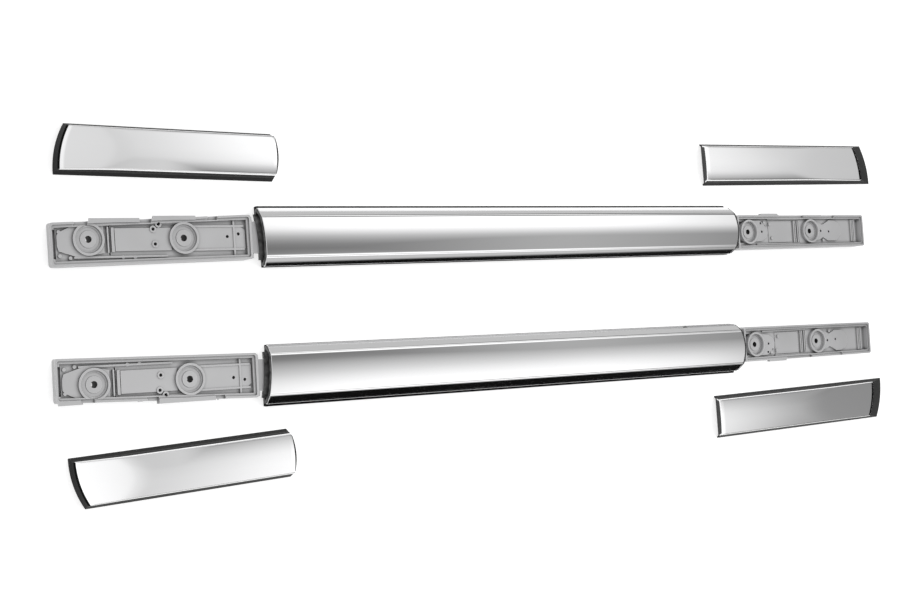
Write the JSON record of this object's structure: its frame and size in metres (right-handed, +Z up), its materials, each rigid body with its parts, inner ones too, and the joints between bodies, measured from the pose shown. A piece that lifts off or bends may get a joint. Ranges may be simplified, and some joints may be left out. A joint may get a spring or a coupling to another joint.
{
  "type": "roof side rail pair",
  "caption": "Pair of bright roof side rails on cast end brackets, with the end caps lifted off and laid beside them.",
  "frame": {"origin": "under the middle of the pair's box, on the surface that the pads rest on", "axes": "+X along the rails toward their rear ends, +Y toward the right rail, +Z up from the roof skin"},
  "size_m": [1.6487, 0.5244, 0.028],
  "materials": {
    "bright_tube": "bright polished",
    "casting": "matte as cast",
    "collar_plastic": "matte",
    "gasket_rubber": "matte",
    "pad_rubber": "matte",
    "cap_bright": "bright plated",
    "cap_dark": "satin",
    "seal_rubber": "matte",
    "screw_steel": "zinc plated"
  },
  "bodies": {
    "root": {"right_tube": "bright_tube", "left_tube": "bright_tube", "right_front_bracket": "casting", "left_front_bracket": "casting", "right_rear_bracket": "casting", "left_rear_bracket": "casting", "right_front_collar": "collar_plastic", "left_front_collar": "collar_plastic", "right_rear_gasket": "gasket_rubber", "left_rear_gasket": "gasket_rubber", "right_front_pad": "pad_rubber", "left_front_pad": "pad_rubber", "right_rear_pad": "pad_rubber", "left_rear_pad": "pad_rubber", "right_front_cap_shell": "cap_bright", "left_front_cap_shell": "cap_bright", "right_rear_cap_shell": "cap_bright", "left_rear_cap_shell": "cap_bright", "right_front_cap_skirt": "cap_dark", "left_front_cap_skirt": "cap_dark", "right_rear_cap_skirt": "cap_dark", "left_rear_cap_skirt": "cap_dark", "right_front_cap_seal": "seal_rubber", "left_front_cap_seal": "seal_rubber", "right_rear_cap_seal": "seal_rubber", "left_rear_cap_seal": "seal_rubber", "tongue_screws": "screw_steel"}
  },
  "joints": []
}
